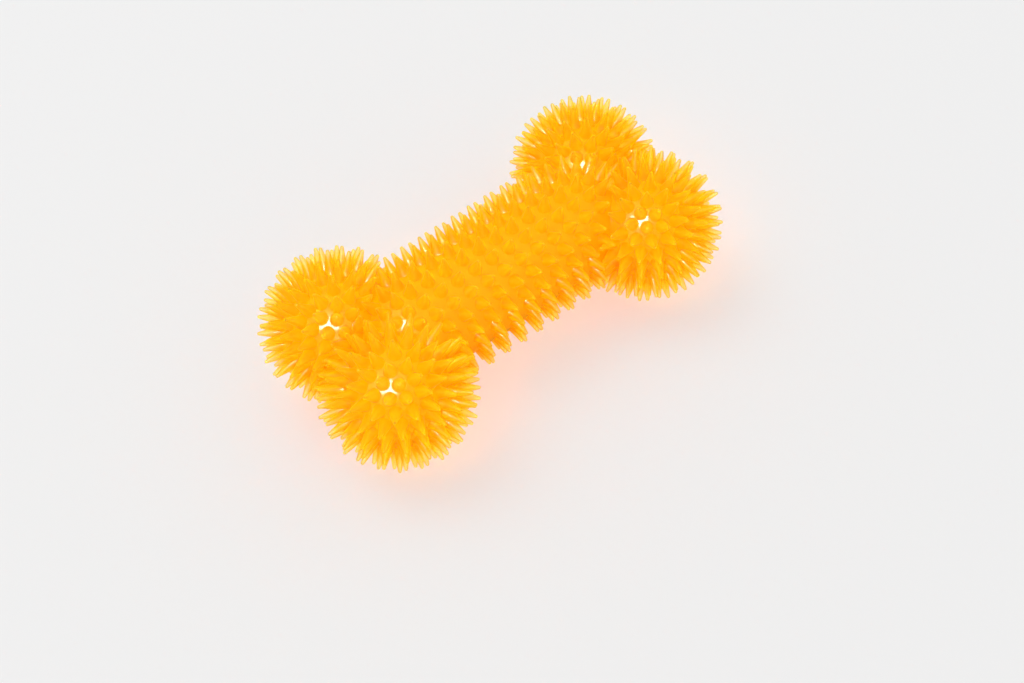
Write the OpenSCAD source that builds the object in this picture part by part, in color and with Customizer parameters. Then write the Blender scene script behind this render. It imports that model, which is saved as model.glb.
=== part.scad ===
// A hollow rubber chew toy in the shape of a bone, covered in soft spikes, with a squeaker in its belly.
// It lies on its four lobes: X runs along the bone, Z is up, and the lowest spike tips stand on z = 0.
// Two moulded halves meet at a level parting plane through the lobe centres.

/* [Bone] */
// Distance along the bone from the lobe centres of one end to those of the other
lobe_span = 79.4; // [70:0.2:100]
// Distance across the bone between the two lobe centres of one end
lobe_gap = 24; // [20:0.5:26]
// Radius of a lobe's skin, under its spikes
lobe_r = 14; // [13:0.25:16]
// Radius of the shaft's skin, under its spikes
shaft_r = 13.4; // [12:0.2:13.8]
// Distance from the lobe centres back to where the shaft begins to round off
shaft_inset = 12.6; // [10:0.2:16]
// Thickness of the rubber wall
wall = 3; // [2.5:0.25:4]

/* [Spikes] */
// Height of a lobe's spikes
lobe_spike_h = 6; // [4:0.25:7]
// Height of the shaft's spikes
shaft_spike_h = 5; // [3:0.25:6]
// Width of a spike at its foot
spike_foot_d = 3.1; // [2.4:0.1:3.2]
// Width of a spike where its tip begins to round off
spike_tip_d = 1.3; // [1.1:0.1:2]
// Width of the small flat at the end of a tip
spike_flat_d = 0.7; // [0.4:0.1:1]
// Length of a spike's rounded tip
spike_tip_h = 0.55; // [0.3:0.05:0.8]
// Distance between the rings of spikes on a lobe, measured over the tips
ring_pitch = 4.6; // [4.4:0.1:6]
// Distance between neighbouring spikes of a ring, measured over the tips
ring_spike_pitch = 5.46; // [5:0.02:6.5]
// Distance between spikes along the shaft
shaft_pitch = 5.2; // [4.6:0.1:6.5]
// Rows of spikes round the shaft
shaft_rows = 22; // [14:4:22]
// Spikes by which a row has moved along the shaft after one turn
row_creep = 4; // [0:1:6]

/* [Weld rim] */
// Height of the tongue that locates the two halves
tongue_h = 1.2; // [0.8:0.1:1.6]
// Width of the tongue
tongue_w = 1; // [0.8:0.1:1.2]
// Gap between the tongue and its groove
tongue_fit = 0.05; // [0.02:0.01:0.1]

/* [Squeaker] */
// Diameter of the squeaker's barrel
barrel_d = 10.4; // [9.6:0.2:12]
// Length of the barrel above the flange
barrel_h = 11; // [10:0.25:13]
// Thickness of the barrel's wall
barrel_wall = 0.9; // [0.7:0.1:1.1]
// Diameter of the flange
flange_d = 13.6; // [13:0.2:15]
// Thickness of the flange
flange_t = 1.4; // [1.2:0.1:2]
// Diameter of the air hole through the flange
air_d = 1.7; // [1.2:0.1:2]
// Diameter of the rubber pad that holds the squeaker
pad_d = 17; // [16:0.5:20]
// Height by which the pad stands out of the shaft's skin
pad_rise = 0.6; // [0.4:0.1:1.5]
// Height of the pad's collar over the wall inside the toy
collar_rise = 2.8; // [2:0.1:4]
// Height of the bead that keeps the barrel in its collar
bead_rise = 0.35; // [0.2:0.05:0.5]
// Gap between the squeaker and its seat in the rubber
seat_fit = 0.04; // [0.02:0.01:0.1]

/* [Reed] */
// Length of the reed's blade over its hinge bead
blade_l = 6; // [5:0.1:6.6]
// Width of the reed
reed_w = 3.8; // [3.2:0.1:4.4]
// Thickness of the reed's blade
blade_t = 0.25; // [0.15:0.05:0.35]
// Diameter of the bead at the reed's root
bead_d = 0.9; // [0.7:0.05:1.1]
// Gap round the bead in its groove
bead_fit = 0.03; // [0.02:0.01:0.05]
// Gap between the resting blade and the face that it beats on
blade_gap = 0.14; // [0.12:0.01:0.2]
// Width of the air channel under the blade
channel_w = 2.6; // [2.2:0.1:3]
// Depth of the air channel
channel_d = 1.9; // [1.8:0.05:2.4]
// Height of the wedge that clamps the reed's root
wedge_h = 2.8; // [2.4:0.1:3.4]

/* [Hidden] */
$fn = 48;
fine_fn = 96;
small_fn = 24;
overrun = 1;

lobe_reach = lobe_r + lobe_spike_h;
parting_z = lobe_reach;
lobe_x = lobe_span / 2;
lobe_y = lobe_gap / 2;
straight_x = lobe_x - shaft_inset;
spike_foot_r = spike_foot_d / 2;
spike_tip_r = spike_tip_d / 2;
foot_sink = spike_foot_r * spike_foot_r / shaft_r;
ring_step = ring_pitch / lobe_reach * 180 / PI;
ring_count = floor((90 - ring_step / 2) / ring_step);
row_step = 360 / shaft_rows;
shaft_reach = shaft_r + shaft_spike_h;
end_arc = shaft_reach * PI / 2;
row_reach = straight_x + end_arc;
row_spikes = ceil(row_reach / shaft_pitch) + 1;
// Compass angle of the first spike in each ring of a lobe, which points straight out across the bone.
first_turn = 90;
// A spike's tip stands clear of the neighbouring form's skin by at least this share of that form's spikes.
mingle_share = 0.5;

pad_z = parting_z - shaft_r - pad_rise;
collar_z = parting_z - shaft_r + wall + collar_rise;
barrel_r = barrel_d / 2;
flange_r = flange_d / 2;
pad_r = pad_d / 2;
bore_r = barrel_r - barrel_wall;
plate_z = pad_z + flange_t;
bead_top_r = barrel_r - barrel_wall / 2;
bead_h = 3 * bead_rise;
reed_block_r = bore_r - seat_fit;
bead_r = bead_d / 2;
bead_z = plate_z + wedge_h / 2;
blade_top_z = bead_z + blade_l;
blade_x = blade_gap + blade_t / 2;
block_top_z = blade_top_z + blade_t;
channel_top_z = blade_top_z - channel_d / 2;
air_x = -channel_d / 2;
swing_room = blade_gap + blade_t * 2;
side_room = blade_gap;

// One spike, standing on z = 0 with its foot sunk into the skin.
module spike(h, sink) {
    rotate_extrude($fn = small_fn)
        polygon([
            [0, -sink],
            [spike_foot_r, -sink],
            [spike_tip_r, h - spike_tip_h],
            [spike_flat_d / 2, h],
            [0, h]
        ]);
}

// Direction from a lobe's centre at a height angle and a compass angle.
function ring_way(height_a, turn_a) =
    [cos(height_a) * cos(turn_a), cos(height_a) * sin(turn_a), sin(height_a)];

// Distance of a point, measured from the middle of the bone, to the shaft's straight axis.
function shaft_distance(p) = norm([max(abs(p.x) - straight_x, 0), p.y, p.z]);

// Distance of a point to the nearest lobe's centre.
function lobe_distance(p) = norm([abs(p.x) - lobe_x, abs(p.y) - lobe_y, p.z]);

// Direction of the spike whose foot lies in direction out from the centre of the lobe at +X, +Y.
// It is square to the skin, but down in the valley between two lobes it leans more upright, so that
// its tip keeps to its own side.
function lobe_spike_way(out) =
    let (
        tip_y = lobe_y + out.y * lobe_reach,
        way_y = tip_y > spike_flat_d / 2 ? out.y : (spike_tip_r - lobe_y - out.y * lobe_r) / lobe_spike_h,
        rest_share = sqrt(1 - way_y * way_y) / norm([out.x, out.z])
    )
    [out.x * rest_share, way_y, out.z * rest_share];

// Depth of a spike's foot under the skin, so that the high side of a leaning one is rooted too.
function spike_depth(out, way) = foot_sink + spike_foot_r * tan(acos(min(out * way, 1)));

function lobe_spike_kept(out) =
    let (
        foot = [lobe_x, lobe_y, 0] + out * lobe_r,
        tip = foot + lobe_spike_way(out) * lobe_spike_h
    )
    foot.y > spike_tip_r
        && shaft_distance(foot) > shaft_r + spike_tip_r
        && shaft_distance(tip) > shaft_r + mingle_share * shaft_spike_h;

// The skin's place and direction at a distance along a row of the shaft, round the rounded end too.
function row_bend(s) = abs(s) < straight_x ? 0 : sign(s) * (abs(s) - straight_x) / shaft_reach * 180 / PI;
function row_way(s, row) =
    let (bend = row_bend(s), turn = row * row_step)
    [sin(bend), -cos(bend) * sin(turn), cos(bend) * cos(turn)];
function row_root(s) = [sign(s) * min(abs(s), straight_x), 0, 0];

function shaft_spike_kept(s, row) =
    let (
        way = row_way(s, row),
        foot = row_root(s) + way * shaft_r,
        tip = row_root(s) + way * shaft_reach
    )
    abs(s) < row_reach
        && lobe_distance(foot) > lobe_r + spike_tip_r
        && lobe_distance(tip) > lobe_r + mingle_share * lobe_spike_h
        && (way.z > 0 || norm([foot.x, foot.y]) > pad_r + spike_foot_r);

// Turns a spike from +Z to the given direction.
module toward(way) {
    rotate([0, acos(way.z), atan2(way.y, way.x)]) children();
}

// Spikes on the upper side of the lobe at +X, +Y, either those that lean or those that stand square.
module lobe_spikes(leaning) {
    for (ring = [0 : ring_count - 1]) {
        height_a = (ring + 0.5) * ring_step;
        count = round(2 * PI * lobe_reach * cos(height_a) / ring_spike_pitch);
        for (i = [0 : count - 1]) {
            out = ring_way(height_a, first_turn + i * 360 / count);
            way = lobe_spike_way(out);
            if (lobe_spike_kept(out) && (way.y != out.y) == leaning)
                translate(out * lobe_r) toward(way) spike(lobe_spike_h, spike_depth(out, way));
        }
    }
    if (!leaning)
        translate([0, 0, lobe_r]) spike(lobe_spike_h, foot_sink);
}

// Spikes on the shaft, on the upper side or on the lower one.
module shaft_spikes(side) {
    for (row = [0 : shaft_rows - 1]) {
        if (side * cos(row * row_step) > 0)
            for (i = [-row_spikes : row_spikes]) {
                s = (i + row_creep * row / shaft_rows) * shaft_pitch;
                if (shaft_spike_kept(s, row))
                    translate(row_root(s)) toward(row_way(s, row))
                        translate([0, 0, shaft_r]) spike(shaft_spike_h, foot_sink);
            }
    }
}

// Places its children on the lobes of one side.
module all_lobes(side) {
    for (mx = [0, 1], my = [0, 1])
        mirror([mx, 0, 0]) mirror([0, my, 0]) mirror([0, 0, side > 0 ? 0 : 1])
            translate([lobe_x, lobe_y, 0]) children();
}

// Solid bone without spikes, smaller by the given depth all over, about its own middle.
module bone(depth) {
    all_lobes(1) sphere(r = lobe_r - depth, $fn = fine_fn);
    rotate([0, 90, 0]) rotate_extrude($fn = fine_fn) capsule_half(shaft_r - depth);
}

// Half outline of the shaft: a straight run with a round end each way.
module capsule_half(r) {
    intersection() {
        union() {
            translate([0, -straight_x]) square([r, 2 * straight_x]);
            for (end = [-1, 1]) translate([0, end * straight_x]) circle(r = r);
        }
        translate([0, -straight_x - r - overrun])
            square([r + overrun, 2 * (straight_x + r + overrun)]);
    }
}

// Level outline of the bone at the parting plane, smaller by the given depth.
module bone_outline(depth) {
    for (mx = [-1, 1], my = [-1, 1])
        translate([mx * lobe_x, my * lobe_y]) circle(r = lobe_r - depth, $fn = fine_fn);
    square([2 * lobe_x, 2 * (shaft_r - depth)], center = true);
}

// Rib that runs round the rim in the middle of the wall.
module tongue(w, h) {
    linear_extrude(height = h)
        difference() {
            bone_outline((wall - w) / 2);
            bone_outline((wall + w) / 2);
        }
}

// Block that takes away everything above or below the parting plane.
module other_half(side) {
    span = 2 * (lobe_x + lobe_reach + overrun);
    translate([-span / 2, -span / 2, side > 0 ? -span : 0]) cube(span);
}

// One half of the hollow bone with its spikes, cut off level. The leaning spikes go on first, because their
// deep roots are cut off with the rest.
module spiky_half(side) {
    difference() {
        union() {
            bone(0);
            all_lobes(side) lobe_spikes(true);
        }
        bone(wall);
        other_half(side);
        if (side > 0)
            translate([0, 0, -overrun]) tongue(tongue_w + 2 * tongue_fit, tongue_h + tongue_fit + overrun);
    }
    all_lobes(side) lobe_spikes(false);
    shaft_spikes(side);
}

module upper_shell() {
    color([1, 0.7, 0.05])
        translate([0, 0, parting_z]) spiky_half(1);
}

module lower_shell() {
    color([1, 0.66, 0.03])
        difference() {
            union() {
                translate([0, 0, parting_z]) {
                    spiky_half(-1);
                    tongue(tongue_w, tongue_h);
                }
                translate([0, 0, pad_z]) cylinder(r = pad_r, h = collar_z - pad_z);
            }
            translate([0, 0, pad_z - overrun])
                cylinder(r = flange_r + seat_fit, h = flange_t + overrun);
            translate([0, 0, pad_z]) cylinder(r = barrel_r + seat_fit, h = collar_z - pad_z + overrun);
        }
}

module squeaker_case() {
    color([0.94, 0.94, 0.92])
        difference() {
            union() {
                translate([0, 0, pad_z]) cylinder(r = flange_r, h = flange_t);
                translate([0, 0, pad_z]) cylinder(r = barrel_r, h = flange_t + barrel_h);
                translate([0, 0, collar_z + seat_fit])
                    cylinder(r1 = barrel_r + bead_rise, r2 = bead_top_r, h = bead_h);
            }
            translate([0, 0, plate_z]) cylinder(r = bore_r, h = barrel_h + overrun);
            translate([air_x, 0, pad_z - overrun])
                cylinder(r = air_d / 2, h = flange_t + 2 * overrun, $fn = small_fn);
        }
}

// Half round plug that fills one side of the squeaker's bore.
module half_plug(side, h) {
    intersection() {
        translate([0, 0, plate_z]) cylinder(r = reed_block_r, h = h);
        translate([side > 0 ? 0 : -bore_r - overrun, -bore_r - overrun, plate_z - overrun])
            cube([bore_r + overrun, 2 * (bore_r + overrun), h + 2 * overrun]);
    }
}

// Space that the reed's bead turns in.
module bead_groove() {
    translate([blade_x, 0, bead_z]) rotate([90, 0, 0])
        cylinder(r = bead_r + bead_fit, h = reed_w + 2 * side_room, center = true, $fn = small_fn);
}

module reed_block() {
    color([0.85, 0.87, 0.9])
        difference() {
            half_plug(-1, block_top_z - plate_z);
            translate([-channel_d, -channel_w / 2, plate_z - overrun])
                cube([channel_d + overrun, channel_w, channel_top_z - plate_z + overrun]);
            bead_groove();
        }
}

module reed_wedge() {
    color([0.75, 0.78, 0.82])
        difference() {
            half_plug(1, wedge_h);
            bead_groove();
            translate([-overrun, -reed_w / 2 - side_room, bead_z])
                cube([swing_room + overrun, reed_w + 2 * side_room, wedge_h]);
        }
}

module reed() {
    color([0.95, 0.95, 0.8])
        union() {
            translate([blade_x, 0, bead_z]) rotate([90, 0, 0])
                cylinder(r = bead_r, h = reed_w, center = true, $fn = small_fn);
            translate([blade_gap, -reed_w / 2, bead_z]) cube([blade_t, reed_w, blade_l]);
        }
}

upper_shell();
lower_shell();
squeaker_case();
reed_block();
reed_wedge();
reed();
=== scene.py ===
# %% [markdown]
# A spiky rubber bone
#
# The object is a dog's chew toy: a hollow bone of translucent orange rubber, moulded in two halves, covered
# in blunt spikes, with a small squeaker in its underside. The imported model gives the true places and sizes.
# This lesson dresses it: it lights a pale floor, models the rubber finely enough for its gloss, and gives
# each piece a finish that lets light through as the real one does.

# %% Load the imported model
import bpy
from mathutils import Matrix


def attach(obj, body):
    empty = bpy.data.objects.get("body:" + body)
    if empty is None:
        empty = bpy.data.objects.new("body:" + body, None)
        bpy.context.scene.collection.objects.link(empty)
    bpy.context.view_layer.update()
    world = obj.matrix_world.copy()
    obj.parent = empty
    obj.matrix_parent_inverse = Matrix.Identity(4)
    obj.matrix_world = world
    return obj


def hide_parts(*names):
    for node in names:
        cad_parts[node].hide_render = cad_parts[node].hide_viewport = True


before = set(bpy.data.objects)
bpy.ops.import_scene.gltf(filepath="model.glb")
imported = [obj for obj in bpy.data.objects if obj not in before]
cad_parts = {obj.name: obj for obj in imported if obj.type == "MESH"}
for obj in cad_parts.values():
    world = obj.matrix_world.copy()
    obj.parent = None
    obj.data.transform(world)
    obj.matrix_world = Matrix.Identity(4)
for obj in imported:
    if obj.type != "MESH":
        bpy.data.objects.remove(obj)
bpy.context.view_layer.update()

import math
import random
import bmesh
import bpy
from mathutils import Matrix, Vector

MM = 0.001
scene = bpy.context.scene

# %% [markdown]
# The camera stands where the one of the photograph stood. The four lobes are round, so their outlines in
# the picture say where that was: 54 degrees above the floor, turned 40 degrees off the bone's length, and
# close enough for the near lobes to look bigger than the far ones.

# %% Place the camera
CAMERA_UP = 54.34
CAMERA_TURN = 39.71
CAMERA_AT = Vector((-144.7, -180.5, 313.3)) * MM
LENS, SENSOR = 52.5, 36.0
NEAREST = 10 * MM

lens = bpy.data.cameras.new("camera")
lens.lens = LENS
lens.sensor_width = SENSOR
lens.clip_start = NEAREST
camera = bpy.data.objects.new("camera", lens)
camera.location = CAMERA_AT
camera.rotation_euler = (math.radians(90 - CAMERA_UP), 0, math.radians(-CAMERA_TURN))
bpy.context.collection.objects.link(camera)
scene.camera = camera
print("camera at", [round(v / MM) for v in CAMERA_AT], "mm")

# %% [markdown]
# Every finish here is a tree of nodes, and the same few steps come back in all of them: start an empty
# material, do a sum on a value, and show some rays another shader than the usual one. A helper for each
# keeps the finishes short enough to be read as recipes.

# %% Write the node helpers


def new_material(name):
    """An empty node material, its tree and its output."""
    material = bpy.data.materials.new(name)
    material.use_nodes = True
    tree = material.node_tree
    tree.nodes.clear()
    return material, tree, tree.nodes.new("ShaderNodeOutputMaterial")


def worked_out(tree, operation, *values):
    """The result of a sum whose values are sockets or plain numbers."""
    node = tree.nodes.new("ShaderNodeMath")
    node.operation = operation
    for socket, value in zip(node.inputs, values):
        if isinstance(value, (int, float)):
            socket.default_value = value
        else:
            tree.links.new(value, socket)
    return node.outputs[0]


def swapped(tree, share, usual, other):
    """A shader that looks like the usual one, with the other one in its place for a share of the rays."""
    mix = tree.nodes.new("ShaderNodeMixShader")
    for socket, source in zip(mix.inputs, (share, usual, other)):
        tree.links.new(source, socket)
    return mix.outputs[0]


# %% [markdown]
# The toy lies on a seamless white sheet, and a wide plane stands in for it. Half of what the camera sees
# there is the sheet's own pale grey and half is the light that falls on it, so it comes out even, and still
# keeps the toy's shadow and the orange light that leaks through the rubber. Wet rubber mirrors what is
# round it, and a white room would turn the orange pink. So the sheet and the room look dim and amber to
# mirrored rays alone. From below the sheet is clear, which lets the underside of the toy be looked at.

# %% Mix the sheet's finish
FLOOR_GREY = 0.857
EVEN_SHARE = 0.5
MIRRORED_COLOUR, MIRRORED_LIGHT = (1.0, 0.7, 0.06, 1), 0.4


def dim_in_mirrors(tree, shader, dim):
    """A shader that looks like the given one, but that rays sent by a mirror see as dim amber instead."""
    dim.inputs["Color"].default_value = MIRRORED_COLOUR
    dim.inputs["Strength"].default_value = MIRRORED_LIGHT
    ray = tree.nodes.new("ShaderNodeLightPath")
    mirrored = worked_out(
        tree, "MULTIPLY", ray.outputs["Is Glossy Ray"], ray.outputs["Is Reflection Ray"]
    )
    return swapped(tree, mirrored, shader, dim.outputs[0])


floor_finish, tree, out = new_material("floor_paper")
paper = tree.nodes.new("ShaderNodeBsdfDiffuse")
even = tree.nodes.new("ShaderNodeEmission")
for shader in (paper, even):
    shader.inputs["Color"].default_value = (FLOOR_GREY, FLOOR_GREY, FLOOR_GREY, 1)
ray = tree.nodes.new("ShaderNodeLightPath")
seen = worked_out(tree, "ADD", ray.outputs["Is Camera Ray"], ray.outputs["Is Transmission Ray"])
even_share = worked_out(tree, "MULTIPLY", seen, EVEN_SHARE)
sheet = swapped(tree, even_share, paper.outputs[0], even.outputs[0])
sheet = dim_in_mirrors(tree, sheet, tree.nodes.new("ShaderNodeEmission"))
side = tree.nodes.new("ShaderNodeNewGeometry")
clear = tree.nodes.new("ShaderNodeBsdfTransparent")
sheet = swapped(tree, side.outputs["Backfacing"], sheet, clear.outputs[0])
tree.links.new(sheet, out.inputs["Surface"])
print("the sheet's finish has", len(tree.nodes), "nodes")

# %% [markdown]
# The sheet itself is one face, far wider than any view of the toy, so that no edge of it shows. It is part
# of the studio and not of the toy.

# %% Lay the sheet
FLOOR_HALF = 3.0

floor_mesh = bpy.data.meshes.new("floor")
corners = [(x * FLOOR_HALF, y * FLOOR_HALF, 0) for x, y in ((-1, -1), (1, -1), (1, 1), (-1, 1))]
floor_mesh.from_pydata(corners, [], [(0, 1, 2, 3)])
floor = bpy.data.objects.new("floor", floor_mesh)
floor.data.materials.append(floor_finish)
bpy.context.collection.objects.link(floor)
print("the sheet is", 2 * FLOOR_HALF, "m wide")

# %% [markdown]
# Light decides how rubber reads. Most of it comes from all round, from a white room. A window high up to
# the left, a little behind the toy, shines through the rubber onto the sheet in front, where it leaves an
# orange glow. A soft lamp above the camera and to its left gives the white spots on the lobes and nothing
# else.

# %% Hang the lamps
TOY_MIDDLE = (0, 0, 0.02)
GLINT_AT, GLINT_SIZE, GLINT_POWER = (-0.29, -0.13, 0.47), (0.38, 0.24), 10
WINDOW_AT, WINDOW_SIZE, WINDOW_POWER = (-0.7, 1.2, 2.4), (1.6, 1.6), 20


def soft_lamp(name, place, size, power):
    """A lamp of (width, height) at place, facing the toy, its width level with the picture."""
    data = bpy.data.lights.new(name, "AREA")
    data.shape = "RECTANGLE"
    data.size, data.size_y = size
    data.energy = power
    lamp = bpy.data.objects.new(name, data)
    lamp.location = place
    back = (Vector(place) - Vector(TOY_MIDDLE)).normalized()
    up = back.cross(camera.matrix_basis.to_3x3().col[0]).normalized()
    lamp.rotation_euler = Matrix((up.cross(back), up, back)).transposed().to_euler()
    bpy.context.collection.objects.link(lamp)
    print(name, "gives", power, "watts")
    return lamp


glint = soft_lamp("glint_lamp", GLINT_AT, GLINT_SIZE, GLINT_POWER)
glint.visible_diffuse = False
glint.visible_transmission = False
glint.visible_volume_scatter = False
window_lamp = soft_lamp("window", WINDOW_AT, WINDOW_SIZE, WINDOW_POWER)
window_lamp.visible_transmission = False
window_lamp.visible_glossy = False

# %% [markdown]
# The room is a plain white world, just under full strength. Light passes many spikes before it comes out of
# the toy again, and the usual number of bounces would end it inside, in olive spots. So more are allowed.

# %% Paint the room
ROOM_LIGHT = 0.83
CLEAR_LAYERS, BOUNCES = 48, 24

scene.view_settings.view_transform = "Standard"
scene.cycles.transparent_max_bounces = CLEAR_LAYERS
scene.cycles.max_bounces = BOUNCES
scene.cycles.diffuse_bounces = BOUNCES
scene.cycles.transmission_bounces = BOUNCES

world = bpy.data.worlds.new("white_room")
world.use_nodes = True
tree = world.node_tree
white = tree.nodes["Background"]
white.inputs["Color"].default_value = (1, 1, 1, 1)
white.inputs["Strength"].default_value = ROOM_LIGHT
room = dim_in_mirrors(tree, white.outputs[0], tree.nodes.new("ShaderNodeBackground"))
tree.links.new(room, tree.nodes["World Output"].inputs["Surface"])
scene.world = world
print("light may pass", CLEAR_LAYERS, "clear layers and bounce", BOUNCES, "times")

# %% [markdown]
# Soft rubber moulded in a steel tool is glossy, but not perfect: it has slow changes of colour where the
# pigment is thicker, and fine waves in its skin. Both plastics of the squeaker have the same kind of skin,
# so it is one node group with its own inputs, which each finish sets to its own values.

# %% Build the moulded skin group
CLOUD_SIZE, CLOUD_DETAIL, WAVE_DETAIL = 60, 3, 2
GLOSS_SPREAD = 0.12

skin = bpy.data.node_groups.new("moulded_skin", "ShaderNodeTree")
for name, low, value, high in (
    ("Wave Size", 10, 400, 5000), ("Dark Share", 0, 0.1, 1), ("Gloss", 0, 0.2, 1),
):
    socket = skin.interface.new_socket(name, in_out="INPUT", socket_type="NodeSocketFloat")
    socket.min_value, socket.default_value, socket.max_value = low, value, high
for name in ("Colour", "Deep Colour"):
    skin.interface.new_socket(name, in_out="INPUT", socket_type="NodeSocketColor")
skin.interface.new_socket("Colour", in_out="OUTPUT", socket_type="NodeSocketColor")
skin.interface.new_socket("Roughness", in_out="OUTPUT", socket_type="NodeSocketFloat")
skin.interface.new_socket("Height", in_out="OUTPUT", socket_type="NodeSocketFloat")

nodes = {name: skin.nodes.new(kind) for name, kind in (
    ("into", "NodeGroupInput"), ("out", "NodeGroupOutput"), ("place", "ShaderNodeTexCoord"),
    ("cloud", "ShaderNodeTexNoise"), ("wave", "ShaderNodeTexNoise"), ("share", "ShaderNodeMath"),
    ("mix", "ShaderNodeMix"), ("rough", "ShaderNodeMath"),
)}
nodes["cloud"].inputs["Scale"].default_value = CLOUD_SIZE
nodes["cloud"].inputs["Detail"].default_value = CLOUD_DETAIL
nodes["wave"].inputs["Detail"].default_value = WAVE_DETAIL
nodes["share"].operation = "MULTIPLY"
nodes["mix"].data_type = "RGBA"
nodes["rough"].operation = "MULTIPLY_ADD"
nodes["rough"].inputs[1].default_value = GLOSS_SPREAD
for a, a_socket, b, b_socket in (
    ("place", "Object", "cloud", "Vector"), ("place", "Object", "wave", "Vector"),
    ("into", "Wave Size", "wave", "Scale"), ("cloud", "Fac", "share", 0), ("into", "Dark Share", "share", 1),
    ("share", 0, "mix", "Factor"), ("into", "Colour", "mix", 6), ("into", "Deep Colour", "mix", 7),
    ("mix", 2, "out", "Colour"), ("cloud", "Fac", "rough", 0), ("into", "Gloss", "rough", 2),
    ("rough", 0, "out", "Roughness"), ("wave", "Fac", "out", "Height"),
):
    skin.links.new(nodes[a].outputs[a_socket], nodes[b].inputs[b_socket])
print("moulded_skin has", len(skin.nodes), "nodes")

# %% [markdown]
# A finish puts that skin on a Principled shader, which is the usual choice for plastics and rubbers. The
# colour and the roughness go straight in, and the waves go in as a bump, because they are far too fine to be
# modelled. What is the same all over, such as how strongly the surface bends light, is set on the shader.

# %% Write the recipe of a moulded finish


def moulded(name, skin_values, wave_depth, settings):
    """A material whose colour, roughness and fine waves come from the moulded skin group."""
    material, tree, out = new_material(name)
    skin_node = tree.nodes.new("ShaderNodeGroup")
    skin_node.node_tree = skin
    bump = tree.nodes.new("ShaderNodeBump")
    bump.inputs["Distance"].default_value = wave_depth
    shader = tree.nodes.new("ShaderNodeBsdfPrincipled")
    for node, values in ((skin_node, skin_values), (shader, settings)):
        for socket, value in values.items():
            node.inputs[socket].default_value = value
    tree.links.new(skin_node.outputs["Colour"], shader.inputs["Base Color"])
    tree.links.new(skin_node.outputs["Roughness"], shader.inputs["Roughness"])
    tree.links.new(skin_node.outputs["Height"], bump.inputs["Height"])
    tree.links.new(bump.outputs["Normal"], shader.inputs["Normal"])
    tree.links.new(shader.outputs[0], out.inputs["Surface"])
    print(material.name, "has", len(tree.nodes), "nodes")
    return material


# %% [markdown]
# The rubber is tinted and a little cloudy, like boiled sugar. White light that goes in and out through a
# thin spike comes back yellow, and light that goes through the wall and off its inside comes back deep
# orange. So the outside is half clear and half cloudy, with a soft gloss, and its tint follows the height
# over the skin, which is stored on the mesh: yellow at the tips of the spikes and deep orange at their
# feet. A sharp wet coat lies on the skin and runs out half way up the spikes, and a tip is partly clear
# where it is looked at squarely.

# %% Mix the rubber
TINT_TIP = (1.0, 0.8, 0.005, 1)
TINT_FOOT = (1.0, 0.6, 0.001, 1)
WAVE_DEPTH = 0.02 * MM
CLEAR_SHARE = 0.58
WET_SHARE, WET_RISE = 0.7, 0.5
RISE = "rise"

rubber = moulded(
    "orange_rubber",
    {"Colour": TINT_TIP, "Deep Colour": TINT_FOOT, "Dark Share": 0.1, "Wave Size": 900, "Gloss": 0.25},
    WAVE_DEPTH,
    {
        "IOR": 1.3, "Specular IOR Level": 0.1, "Transmission Weight": 0.5,
        "Coat IOR": 1.4, "Coat Roughness": 0.03,
    },
)
tree = rubber.node_tree
shader = tree.nodes["Principled BSDF"]
stored = tree.nodes.new("ShaderNodeAttribute")
stored.attribute_name = RISE
rise = stored.outputs["Fac"]
tint = tree.nodes.new("ShaderNodeMix")
tint.data_type = "RGBA"
tint.inputs[6].default_value = TINT_FOOT
tint.inputs[7].default_value = TINT_TIP
tree.links.new(rise, tint.inputs["Factor"])
tree.links.new(tint.outputs[2], tree.nodes["Group"].inputs["Colour"])
wet = worked_out(tree, "MULTIPLY_ADD", rise, -WET_SHARE / WET_RISE, WET_SHARE)
wet.node.use_clamp = True
tree.links.new(wet, shader.inputs["Coat Weight"])
view = tree.nodes.new("ShaderNodeLayerWeight")
ahead = worked_out(tree, "SUBTRACT", 1, view.outputs["Facing"])
thin = worked_out(tree, "MULTIPLY", ahead, rise)
alpha = worked_out(tree, "MULTIPLY_ADD", thin, -CLEAR_SHARE, 1)
tree.links.new(alpha, shader.inputs["Alpha"])
print("orange_rubber has grown to", len(tree.nodes), "nodes")

# %% [markdown]
# The inside of the wall is a plain bright orange, which stands for all the light that is scattered in the
# rubber. Both finishes would stop the light of the lamps, so for the rays that look for lamps alone they are
# tinted windows. The two halves are welded at the rim, where the real rubber has no surface any more, so
# the weld faces show nothing.

# %% Mix the inside, and let the lamps shine through
INSIDE = (1.0, 0.63, 0.002, 1)
INSIDE_DEEP = (1.0, 0.6, 0.02, 1)
OUTSIDE_WINDOW = (1.0, 0.78, 0.4, 1)
INSIDE_WINDOW = (1.0, 0.7, 0.25, 1)

inside = moulded(
    "cloudy_inside",
    {"Colour": INSIDE, "Deep Colour": INSIDE_DEEP, "Dark Share": 0.3, "Wave Size": 300, "Gloss": 0.5},
    WAVE_DEPTH,
    {"IOR": 1.4},
)
for material, colour in ((rubber, OUTSIDE_WINDOW), (inside, INSIDE_WINDOW)):
    tree = material.node_tree
    window = tree.nodes.new("ShaderNodeBsdfTransparent")
    window.inputs["Color"].default_value = colour
    ray = tree.nodes.new("ShaderNodeLightPath")
    lit = swapped(
        tree, ray.outputs["Is Shadow Ray"], tree.nodes["Principled BSDF"].outputs[0], window.outputs[0]
    )
    tree.links.new(lit, tree.nodes["Material Output"].inputs["Surface"])

weld, tree, out = new_material("weld")
nothing = tree.nodes.new("ShaderNodeBsdfTransparent")
tree.links.new(nothing.outputs[0], out.inputs["Surface"])

# %% [markdown]
# The squeaker is natural polythene, white and waxy, which also lets a little light in. Its reed is a strip
# of clear film. Both are plain parts with true shapes already, so they keep their solids and only get a
# finish.

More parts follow.
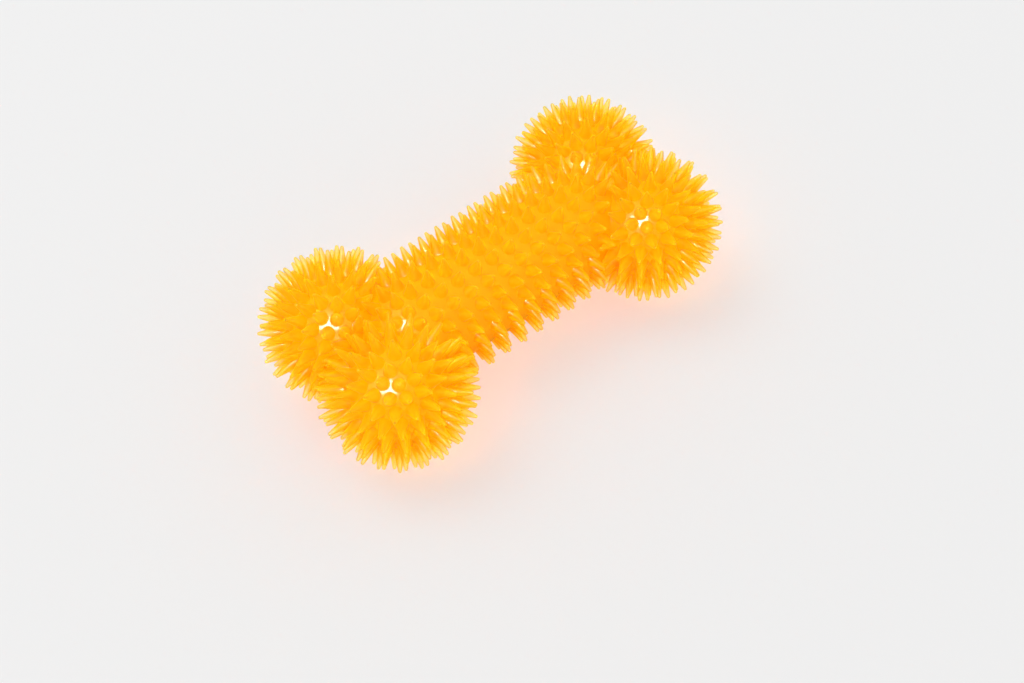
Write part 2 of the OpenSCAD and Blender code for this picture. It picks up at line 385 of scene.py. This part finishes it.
# %% Finish the squeaker
polythene = moulded(
    "white_polythene",
    {
        "Colour": (0.86, 0.86, 0.83, 1), "Deep Colour": (0.8, 0.8, 0.76, 1), "Dark Share": 0.5,
        "Wave Size": 700, "Gloss": 0.28,
    },
    WAVE_DEPTH,
    {
        "IOR": 1.51, "Subsurface Weight": 0.35, "Subsurface Radius": (1.0, 0.95, 0.85),
        "Subsurface Scale": 0.001,
    },
)
film = moulded(
    "reed_film",
    {
        "Colour": (0.86, 0.88, 0.8, 1), "Deep Colour": (0.8, 0.82, 0.72, 1), "Dark Share": 0.3,
        "Wave Size": 900, "Gloss": 0.08,
    },
    WAVE_DEPTH / 2,
    {"IOR": 1.57, "Transmission Weight": 0.4},
)
for node, finish in (
    ("squeaker_case", polythene), ("reed_block", polythene), ("reed_wedge", polythene), ("reed", film),
):
    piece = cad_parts[node]
    piece.data.materials.clear()
    piece.data.materials.append(finish)
    print(node, "gets", finish.name)

# %% [markdown]
# The rubber is modelled again, finer than the solid. It starts from the same sizes in millimetres, measured
# from the middle of the bone: four balls for the lobes and a round-ended shaft between them. Two distances
# say where the skin is, and every rule on where a spike may stand is written with them.

# %% Set out the bone
LOBE_X, LOBE_Y = 39.7, 12.0
LOBE_R, SHAFT_R = 14.0, 13.4
STRAIGHT_X = LOBE_X - 12.6
WALL = 3.0
LOBE_SPIKE, SHAFT_SPIKE = 6.0, 5.0
LOBE_REACH = LOBE_R + LOBE_SPIKE
SHAFT_REACH = SHAFT_R + SHAFT_SPIKE


def shaft_distance(p):
    """Distance of a point to the shaft's straight axis."""
    return Vector((max(abs(p.x) - STRAIGHT_X, 0), p.y, p.z)).length


def lobe_distance(p):
    """Distance of a point to the nearest lobe's centre."""
    return Vector((abs(p.x) - LOBE_X, abs(p.y) - LOBE_Y, p.z)).length


print("over the spikes a lobe is", 2 * LOBE_REACH, "mm thick and the shaft", 2 * SHAFT_REACH)

# %% [markdown]
# Every spike stands square on the skin. On a lobe they sit in level rings, each of which starts straight
# out across the bone. In the valley between two lobes they stand more upright, so that each tip keeps to its
# own side, and a leaning spike is rooted deeper. Where a lobe meets the shaft the ones that would run into
# it are left out. The same rules as in the solid model place them, so both agree.

# %% Work out where the spikes of a lobe stand
FOOT_R, TIP_R, FLAT_R = 1.55, 0.65, 0.35
FOOT_SINK = 0.5
RING_PITCH, RING_SPIKE_PITCH = 4.6, 5.46
FIRST_TURN = 90
MINGLE_SHARE = 0.5


def upright(out):
    """Direction of the spike at direction out from a lobe's centre, which keeps its tip to its own side."""
    way_y = out.y
    if LOBE_Y + out.y * LOBE_REACH <= FLAT_R:
        way_y = (TIP_R - LOBE_Y - out.y * LOBE_R) / LOBE_SPIKE
    share = math.sqrt(max(0, 1 - way_y ** 2)) / math.hypot(out.x, out.z)
    return Vector((out.x * share, way_y, out.z * share))


def foot_depth(out, way):
    """Depth of a spike's foot under the skin, so that the high side of a leaning one is rooted too."""
    return FOOT_SINK + FOOT_R * math.tan(math.acos(min(out.dot(way), 1)))


def lobe_spots():
    """(foot, way, height, depth) of each spike on the upper side of the lobe at +X, +Y."""
    middle = Vector((LOBE_X, LOBE_Y, 0))
    step = math.degrees(RING_PITCH / LOBE_REACH)
    spots = [(middle + Vector((0, 0, LOBE_R)), Vector((0, 0, 1)), LOBE_SPIKE, FOOT_SINK)]
    for ring in range(int((90 - step / 2) / step)):
        height_a = math.radians((ring + 0.5) * step)
        flat = math.cos(height_a)
        count = round(2 * math.pi * LOBE_REACH * flat / RING_SPIKE_PITCH)
        for i in range(count):
            turn = math.radians(FIRST_TURN + i * 360 / count)
            out = Vector((flat * math.cos(turn), flat * math.sin(turn), math.sin(height_a)))
            foot = middle + out * LOBE_R
            way = upright(out)
            if (
                foot.y > TIP_R
                and shaft_distance(foot) > SHAFT_R + TIP_R
                and shaft_distance(foot + way * LOBE_SPIKE) > SHAFT_R + MINGLE_SHARE * SHAFT_SPIKE
            ):
                spots.append((foot, way, LOBE_SPIKE, foot_depth(out, way)))
    return spots


print("spikes on one side of a lobe:", len(lobe_spots()))

# %% [markdown]
# On the shaft the spikes sit in rows, and each row starts a little further along than the one before it, so
# that they creep round the shaft like a slow screw. At its ends the rows bend over the round. The round
# rubber pad in the belly, which holds the squeaker, stays bare.

# %% Work out where the spikes of the shaft stand
SHAFT_PITCH, SHAFT_ROWS, ROW_CREEP = 5.2, 22, 4
ROW_HALF = 12
PAD_R = 8.5


def shaft_spots(side):
    """(foot, way, height, depth) of each spike on the shaft's upper side (1) or lower one (-1)."""
    spots = []
    row_reach = STRAIGHT_X + SHAFT_REACH * math.pi / 2
    for row in range(SHAFT_ROWS):
        turn = math.radians(row * 360 / SHAFT_ROWS)
        if side * math.cos(turn) <= 0:
            continue
        for i in range(-ROW_HALF, ROW_HALF + 1):
            s = (i + ROW_CREEP * row / SHAFT_ROWS) * SHAFT_PITCH
            if abs(s) >= row_reach:
                continue
            bend = math.copysign(max(abs(s) - STRAIGHT_X, 0) / SHAFT_REACH, s)
            way = Vector((
                math.sin(bend), -math.cos(bend) * math.sin(turn), math.cos(bend) * math.cos(turn)
            ))
            root = Vector((math.copysign(min(abs(s), STRAIGHT_X), s), 0, 0))
            foot = root + way * SHAFT_R
            tip = root + way * SHAFT_REACH
            if (
                lobe_distance(foot) > LOBE_R + TIP_R
                and lobe_distance(tip) > LOBE_R + MINGLE_SHARE * LOBE_SPIKE
                and (side > 0 or math.hypot(foot.x, foot.y) > PAD_R + FOOT_R)
            ):
                spots.append((foot, way, SHAFT_SPIKE, FOOT_SINK))
    return spots


def half_spots(side):
    """Every spike of the upper half (1) or the lower one (-1): the shaft's, and one lobe's mirrored."""
    spots = shaft_spots(side)
    for x in (-1, 1):
        for y in (-1, 1):
            signs = Matrix.Diagonal((x, y, side))
            spots += [
                (signs @ foot, signs @ way, height, depth) for foot, way, height, depth in lobe_spots()
            ]
    return spots


print("spikes:", len(half_spots(1)), "above and", len(half_spots(-1)), "below")

# %% [markdown]
# All that is round here is turned: an outline goes round an axis, as on a lathe. Plain helpers make such a
# solid, a ball, a drum and a block, always closed, and in millimetres until the mesh is made.

# %% Write the helpers for plain solids
ROUND_SIDES = 96


def solid(name, points, faces):
    """A mesh object from points in millimetres."""
    mesh = bpy.data.meshes.new(name)
    mesh.from_pydata([Vector(p) * MM for p in points], [], faces)
    piece = bpy.data.objects.new(name, mesh)
    bpy.context.collection.objects.link(piece)
    return piece


def turned(outline, sides, place=Matrix.Identity(4)):
    """Points and faces of an outline of (radius, height) turned about Z, from axis to axis."""
    points = [place @ Vector((0, 0, outline[0][1]))]
    for r, z in outline[1:-1]:
        for i in range(sides):
            a = 2 * math.pi * i / sides
            points.append(place @ Vector((r * math.cos(a), r * math.sin(a), z)))
    points.append(place @ Vector((0, 0, outline[-1][1])))
    faces = []
    for i in range(sides):
        j = (i + 1) % sides
        faces.append((0, 1 + j, 1 + i))
        for ring in range(len(outline) - 3):
            low = 1 + ring * sides
            faces.append((low + i, low + j, low + sides + j, low + sides + i))
        top = 1 + (len(outline) - 3) * sides
        faces.append((top + i, top + j, len(points) - 1))
    return points, faces


def drum(name, r, low, high, centre=(0, 0)):
    """A plain round solid between two heights."""
    place = Matrix.Translation((*centre, 0))
    return solid(name, *turned([(0, low), (r, low), (r, high), (0, high)], ROUND_SIDES, place))


def block(name, low, high):
    """A plain block between two corners."""
    xyz = [(x, y, z) for z in (low[2], high[2]) for y in (low[1], high[1]) for x in (low[0], high[0])]
    faces = [(0, 2, 3, 1), (4, 5, 7, 6), (0, 1, 5, 4), (2, 6, 7, 3), (0, 4, 6, 2), (1, 3, 7, 5)]
    return solid(name, xyz, faces)


def ball(name, centre, r, fineness):
    """A round ball made of even triangles."""
    shape = bmesh.new()
    bmesh.ops.create_icosphere(
        shape, subdivisions=fineness, radius=r * MM, matrix=Matrix.Translation(Vector(centre) * MM)
    )
    mesh = bpy.data.meshes.new(name)
    shape.to_mesh(mesh)
    shape.free()
    piece = bpy.data.objects.new(name, mesh)
    bpy.context.collection.objects.link(piece)
    return piece


# %% [markdown]
# Joining more than four hundred spikes to a hollow shell by hand is hopeless, but a solid modeller does it
# in seconds. Blender's manifold boolean wants clean closed solids, and leaves one. The bone without its
# spikes is the first thing made with it, once full size for the skin and once smaller for the hollow.

# %% Join solids into the bone
SKIN_FINE, HOLLOW_FINE = 6, 5
BENDS, RUNS = 16, 12


def combine(base, tool, how):
    """base joined with tool (UNION), or cut by it (DIFFERENCE); tool is used up."""
    step = base.modifiers.new(how, "BOOLEAN")
    step.solver = "MANIFOLD"
    step.operation = how
    step.object = tool
    state = bpy.context.evaluated_depsgraph_get()
    old = base.data
    base.data = bpy.data.meshes.new_from_object(base.evaluated_get(state))
    base.modifiers.clear()
    bpy.data.meshes.remove(old)
    bpy.data.meshes.remove(tool.data)
    return base


def bone(name, depth, fineness):
    """The bone without spikes, smaller by depth, round the point midway between its lobes."""
    r = SHAFT_R - depth
    outline = [(0, -STRAIGHT_X - r)]
    for i in range(1, BENDS + 1):
        a = math.pi / 2 * i / BENDS
        outline.append((r * math.sin(a), -STRAIGHT_X - r * math.cos(a)))
    for i in range(1, RUNS):
        outline.append((r, -STRAIGHT_X + 2 * STRAIGHT_X * i / RUNS))
    outline += [(radius, -height) for radius, height in outline[BENDS::-1]]
    piece = solid(name, *turned(outline, ROUND_SIDES, Matrix.Rotation(math.pi / 2, 4, "Y")))
    for x in (-LOBE_X, LOBE_X):
        for y in (-LOBE_Y, LOBE_Y):
            combine(piece, ball("lobe", (x, y, 0), LOBE_R - depth, fineness), "UNION")
    return piece


# %% [markdown]
# A spike could be a plain cone, but rubber never comes out of a tool with a sharp edge. So each spike is
# turned from an outline: it spreads a little where it grows out of the skin, tapers evenly, and ends in a
# round tip. Rubber creeps as it cools, so no two spikes stand quite alike. Only the ones that point straight
# down stay as they are, because the toy lies on four of them.

# %% Turn the spikes
SPIKE_SIDES = 16
ROOT_R, ROUND_R = 1.55, 0.44
FLARE, FLARE_LOW, FLARE_HIGH, FLARE_LIP = 0.2, -0.1, 0.25, 0.05
SLOPE = math.radians(12)
TAPER_SHARES = (0.33, 0.67, 1)
ROUND_TURNS = (30, 48, 66, 80)
LEAN = math.radians(1.5)
LENGTH_SPREAD = 0.06
STRAIGHT_DOWN = -0.999


def spike_outline(height, depth):
    """Outline of a spike from under the skin to its round tip."""
    wide = ROOT_R + FLARE * FOOT_SINK / depth
    outline = [(0, -depth), (wide, -depth), (wide, FLARE_LOW), (ROOT_R + FLARE_LIP, FLARE_HIGH)]
    ball_z = height - ROUND_R
    end_r, end_z = ROUND_R * math.cos(SLOPE), ball_z + ROUND_R * math.sin(SLOPE)
    for share in TAPER_SHARES:
        outline.append((
            ROOT_R + (end_r - ROOT_R) * share, FLARE_HIGH + (end_z - FLARE_HIGH) * share
        ))
    for turn in ROUND_TURNS:
        a = math.radians(turn)
        outline.append((ROUND_R * math.cos(a), ball_z + ROUND_R * math.sin(a)))
    outline.append((0, height))
    return outline


def spike_solid(group, dice):
    """One set of spikes as a mesh object, each leaned and shortened a little by chance."""
    points, faces = [], []
    for foot, way, height, depth in group:
        stands = way.z < STRAIGHT_DOWN
        lean = Matrix.Rotation(0 if stands else dice.uniform(-LEAN, LEAN), 4, "X")
        lean @= Matrix.Rotation(0 if stands else dice.uniform(-LEAN, LEAN), 4, "Y")
        length = height * (1 if stands else 1 - dice.uniform(0, LENGTH_SPREAD))
        place = Matrix.Translation(foot) @ way.to_track_quat("Z", "Y").to_matrix().to_4x4() @ lean
        some, sides = turned(spike_outline(length, depth), SPIKE_SIDES, place)
        start = len(points)
        points += some
        faces += [tuple(start + i for i in face) for face in sides]
    return solid("spikes", points, faces)


print("a spike has", len(spike_outline(LOBE_SPIKE, FOOT_SINK)) - 2, "rings of", SPIKE_SIDES, "points")

# %% [markdown]
# The boolean also wants solids that don't run into themselves, and neighbouring spikes do touch at their
# feet. So they are dealt into a few sets in which none stands close to another, and each set is joined on
# in one step.

# %% Deal the spikes into sets
SPACE = 0.3
BEAD_SHARES = (0, 0.33, 0.66, 1)


def apart(spot, other):
    """True where two spikes stay clear of each other from foot to tip."""
    beads = []
    for foot, way, height, _ in (spot, other):
        beads.append([
            (foot + way * height * share, FOOT_R + FLARE + (TIP_R - FOOT_R - FLARE) * share)
            for share in BEAD_SHARES
        ])
    return all((a - b).length > r + s + SPACE for a, r in beads[0] for b, s in beads[1])


def spike_sets(spots):
    """Deals the spikes into sets in which none stands close to another."""
    sets = []
    for spot in spots:
        for group in sets:
            if all(apart(spot, other) for other in group):
                group.append(spot)
                break
        else:
            sets.append([spot])
    return sets


upper_sets, lower_sets = spike_sets(half_spots(1)), spike_sets(half_spots(-1))
print("sets of spikes:", len(upper_sets), "above and", len(lower_sets), "below")

# %% [markdown]
# Each half is the bone's skin with its spikes joined on, hollowed out, and cut off level through the lobe
# centres. A hundredth of a millimetre is left between the halves, so that their rims don't lie in the same
# place. The rim of each has a band in the middle of the wall: the lower half's stands up as a tongue, and
# the upper half has a groove for it.

# %% Mould the two halves
SEED = 11
TONGUE_H, TONGUE_W, TONGUE_FIT = 1.2, 1.0, 0.05
WELD_GAP = 0.005
PAST = 1.0


def half(name, side, sets):
    """One half of the bone with its spikes, hollow and cut off level."""
    dice = random.Random(SEED + side)
    piece = bone(name, 0, SKIN_FINE)
    for group in sets:
        combine(piece, spike_solid(group, dice), "UNION")
    combine(piece, bone("hollow", WALL, HOLLOW_FINE), "DIFFERENCE")
    far = 2 * LOBE_X
    gap = WELD_GAP * side
    low, high = (-far, -far, -far if side > 0 else gap), (far, far, gap if side > 0 else far)
    return combine(piece, block("other_half", low, high), "DIFFERENCE")


def rim_rib(w, low, high):
    """The band in the middle of the wall that runs round the rim, w wide."""
    rings = []
    for depth in ((WALL - w) / 2, (WALL + w) / 2):
        run = block("rib", (-LOBE_X, -SHAFT_R + depth, low), (LOBE_X, SHAFT_R - depth, high))
        for x in (-LOBE_X, LOBE_X):
            for y in (-LOBE_Y, LOBE_Y):
                combine(run, drum("rib_end", LOBE_R - depth, low, high, (x, y)), "UNION")
        rings.append(run)
        low, high = low - PAST, high + PAST
    return combine(rings[0], rings[1], "DIFFERENCE")


upper = half("upper_rubber", 1, upper_sets)
combine(upper, rim_rib(TONGUE_W + 2 * TONGUE_FIT, -PAST, TONGUE_H + TONGUE_FIT), "DIFFERENCE")
lower = half("lower_rubber", -1, lower_sets)
combine(lower, rim_rib(TONGUE_W, -4 * WELD_GAP, TONGUE_H), "UNION")
print("faces:", len(upper.data.polygons), "above and", len(lower.data.polygons), "below")

# %% [markdown]
# The squeaker sits in a thick round pad in the belly, whose collar reaches up into the hollow. Its rim is
# rounded, as a dog's mouth will find any edge. Two drums cut the seats: a wide one for the flange and a
# narrow one right through for the barrel.

# %% Seat the squeaker
PAD_RISE, COLLAR_RISE, PAD_ROUND = 0.6, 2.8, 0.5
PAD_TURNS = (90, 60, 30, 0)
BARREL_SEAT_R, FLANGE_SEAT_R, FLANGE_T = 5.24, 6.84, 1.4

pad_low = -SHAFT_R - PAD_RISE
pad_high = -SHAFT_R + WALL + COLLAR_RISE
pad_outline = [(0, pad_low)]
for turn in PAD_TURNS:
    a = math.radians(turn)
    pad_outline.append((
        PAD_R - PAD_ROUND * (1 - math.cos(a)), pad_low + PAD_ROUND * (1 - math.sin(a))
    ))
pad_outline += [(PAD_R, pad_high), (0, pad_high)]
combine(lower, solid("pad", *turned(pad_outline, ROUND_SIDES)), "UNION")
combine(lower, drum("flange_seat", FLANGE_SEAT_R, pad_low - PAST, pad_low + FLANGE_T), "DIFFERENCE")
combine(lower, drum("barrel_seat", BARREL_SEAT_R, pad_low - PAST, pad_high + PAST), "DIFFERENCE")
print("the pad is", round(pad_high - pad_low, 1), "mm high")

# %% [markdown]
# The finishes need to know where on the rubber they are. So each point stores how high it rises over the
# skin, and each face gets the finish of its place: the outside, the inside of the wall, or the weld.

# %% Tell the faces apart
OUTSIDE_FACE, INSIDE_FACE, WELD_FACE = 0, 1, 2
NEAR, SEAT_ROOM, RIM_ROOM = 0.2, 0.01, 0.1


def over_skin(p):
    """Height of a point over the skin of the bone, less than zero inside."""
    return min(shaft_distance(p) - SHAFT_R, lobe_distance(p) - LOBE_R)


def face_kind(middle):
    """Which of the three finishes the face round a point has."""
    depth = -over_skin(middle)
    in_seat = math.hypot(middle.x, middle.y) < PAD_R + SEAT_ROOM and middle.z < 0
    if depth > WALL - NEAR:
        return INSIDE_FACE
    if depth > NEAR and not in_seat and abs(middle.z) < TONGUE_H + RIM_ROOM:
        return WELD_FACE
    return OUTSIDE_FACE


for piece in (upper, lower):
    mesh = piece.data
    attribute = mesh.attributes.new(RISE, "FLOAT", "POINT")
    heights = [over_skin(point.co / MM) for point in mesh.vertices]
    attribute.data.foreach_set("value", [min(max(height / SHAFT_SPIKE, 0), 1) for height in heights])
    mesh.materials.clear()
    for finish in (rubber, inside, weld):
        mesh.materials.append(finish)
    for face in mesh.polygons:
        face.material_index = face_kind(face.center / MM)
    print(piece.name, "has", len(heights), "points, the highest", round(max(heights), 2), "mm up")

# %% [markdown]
# The halves are lifted onto their spike tips, as the solid one stands, and shaded smooth except at true
# edges. Each takes the place of its solid, which stays behind for its weight and its touch.

# %% Put the halves in place of the solid ones
SHARP = math.radians(50)

for piece, node in ((upper, "upper_shell"), (lower, "lower_shell")):
    piece.data.transform(Matrix.Translation((0, 0, LOBE_REACH * MM)))
    piece.data.shade_smooth()
    piece.data.set_sharp_from_angle(angle=SHARP)
    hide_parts(node)
    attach(piece, "toy")
    print(piece.name, "has", len(piece.data.polygons), "faces")
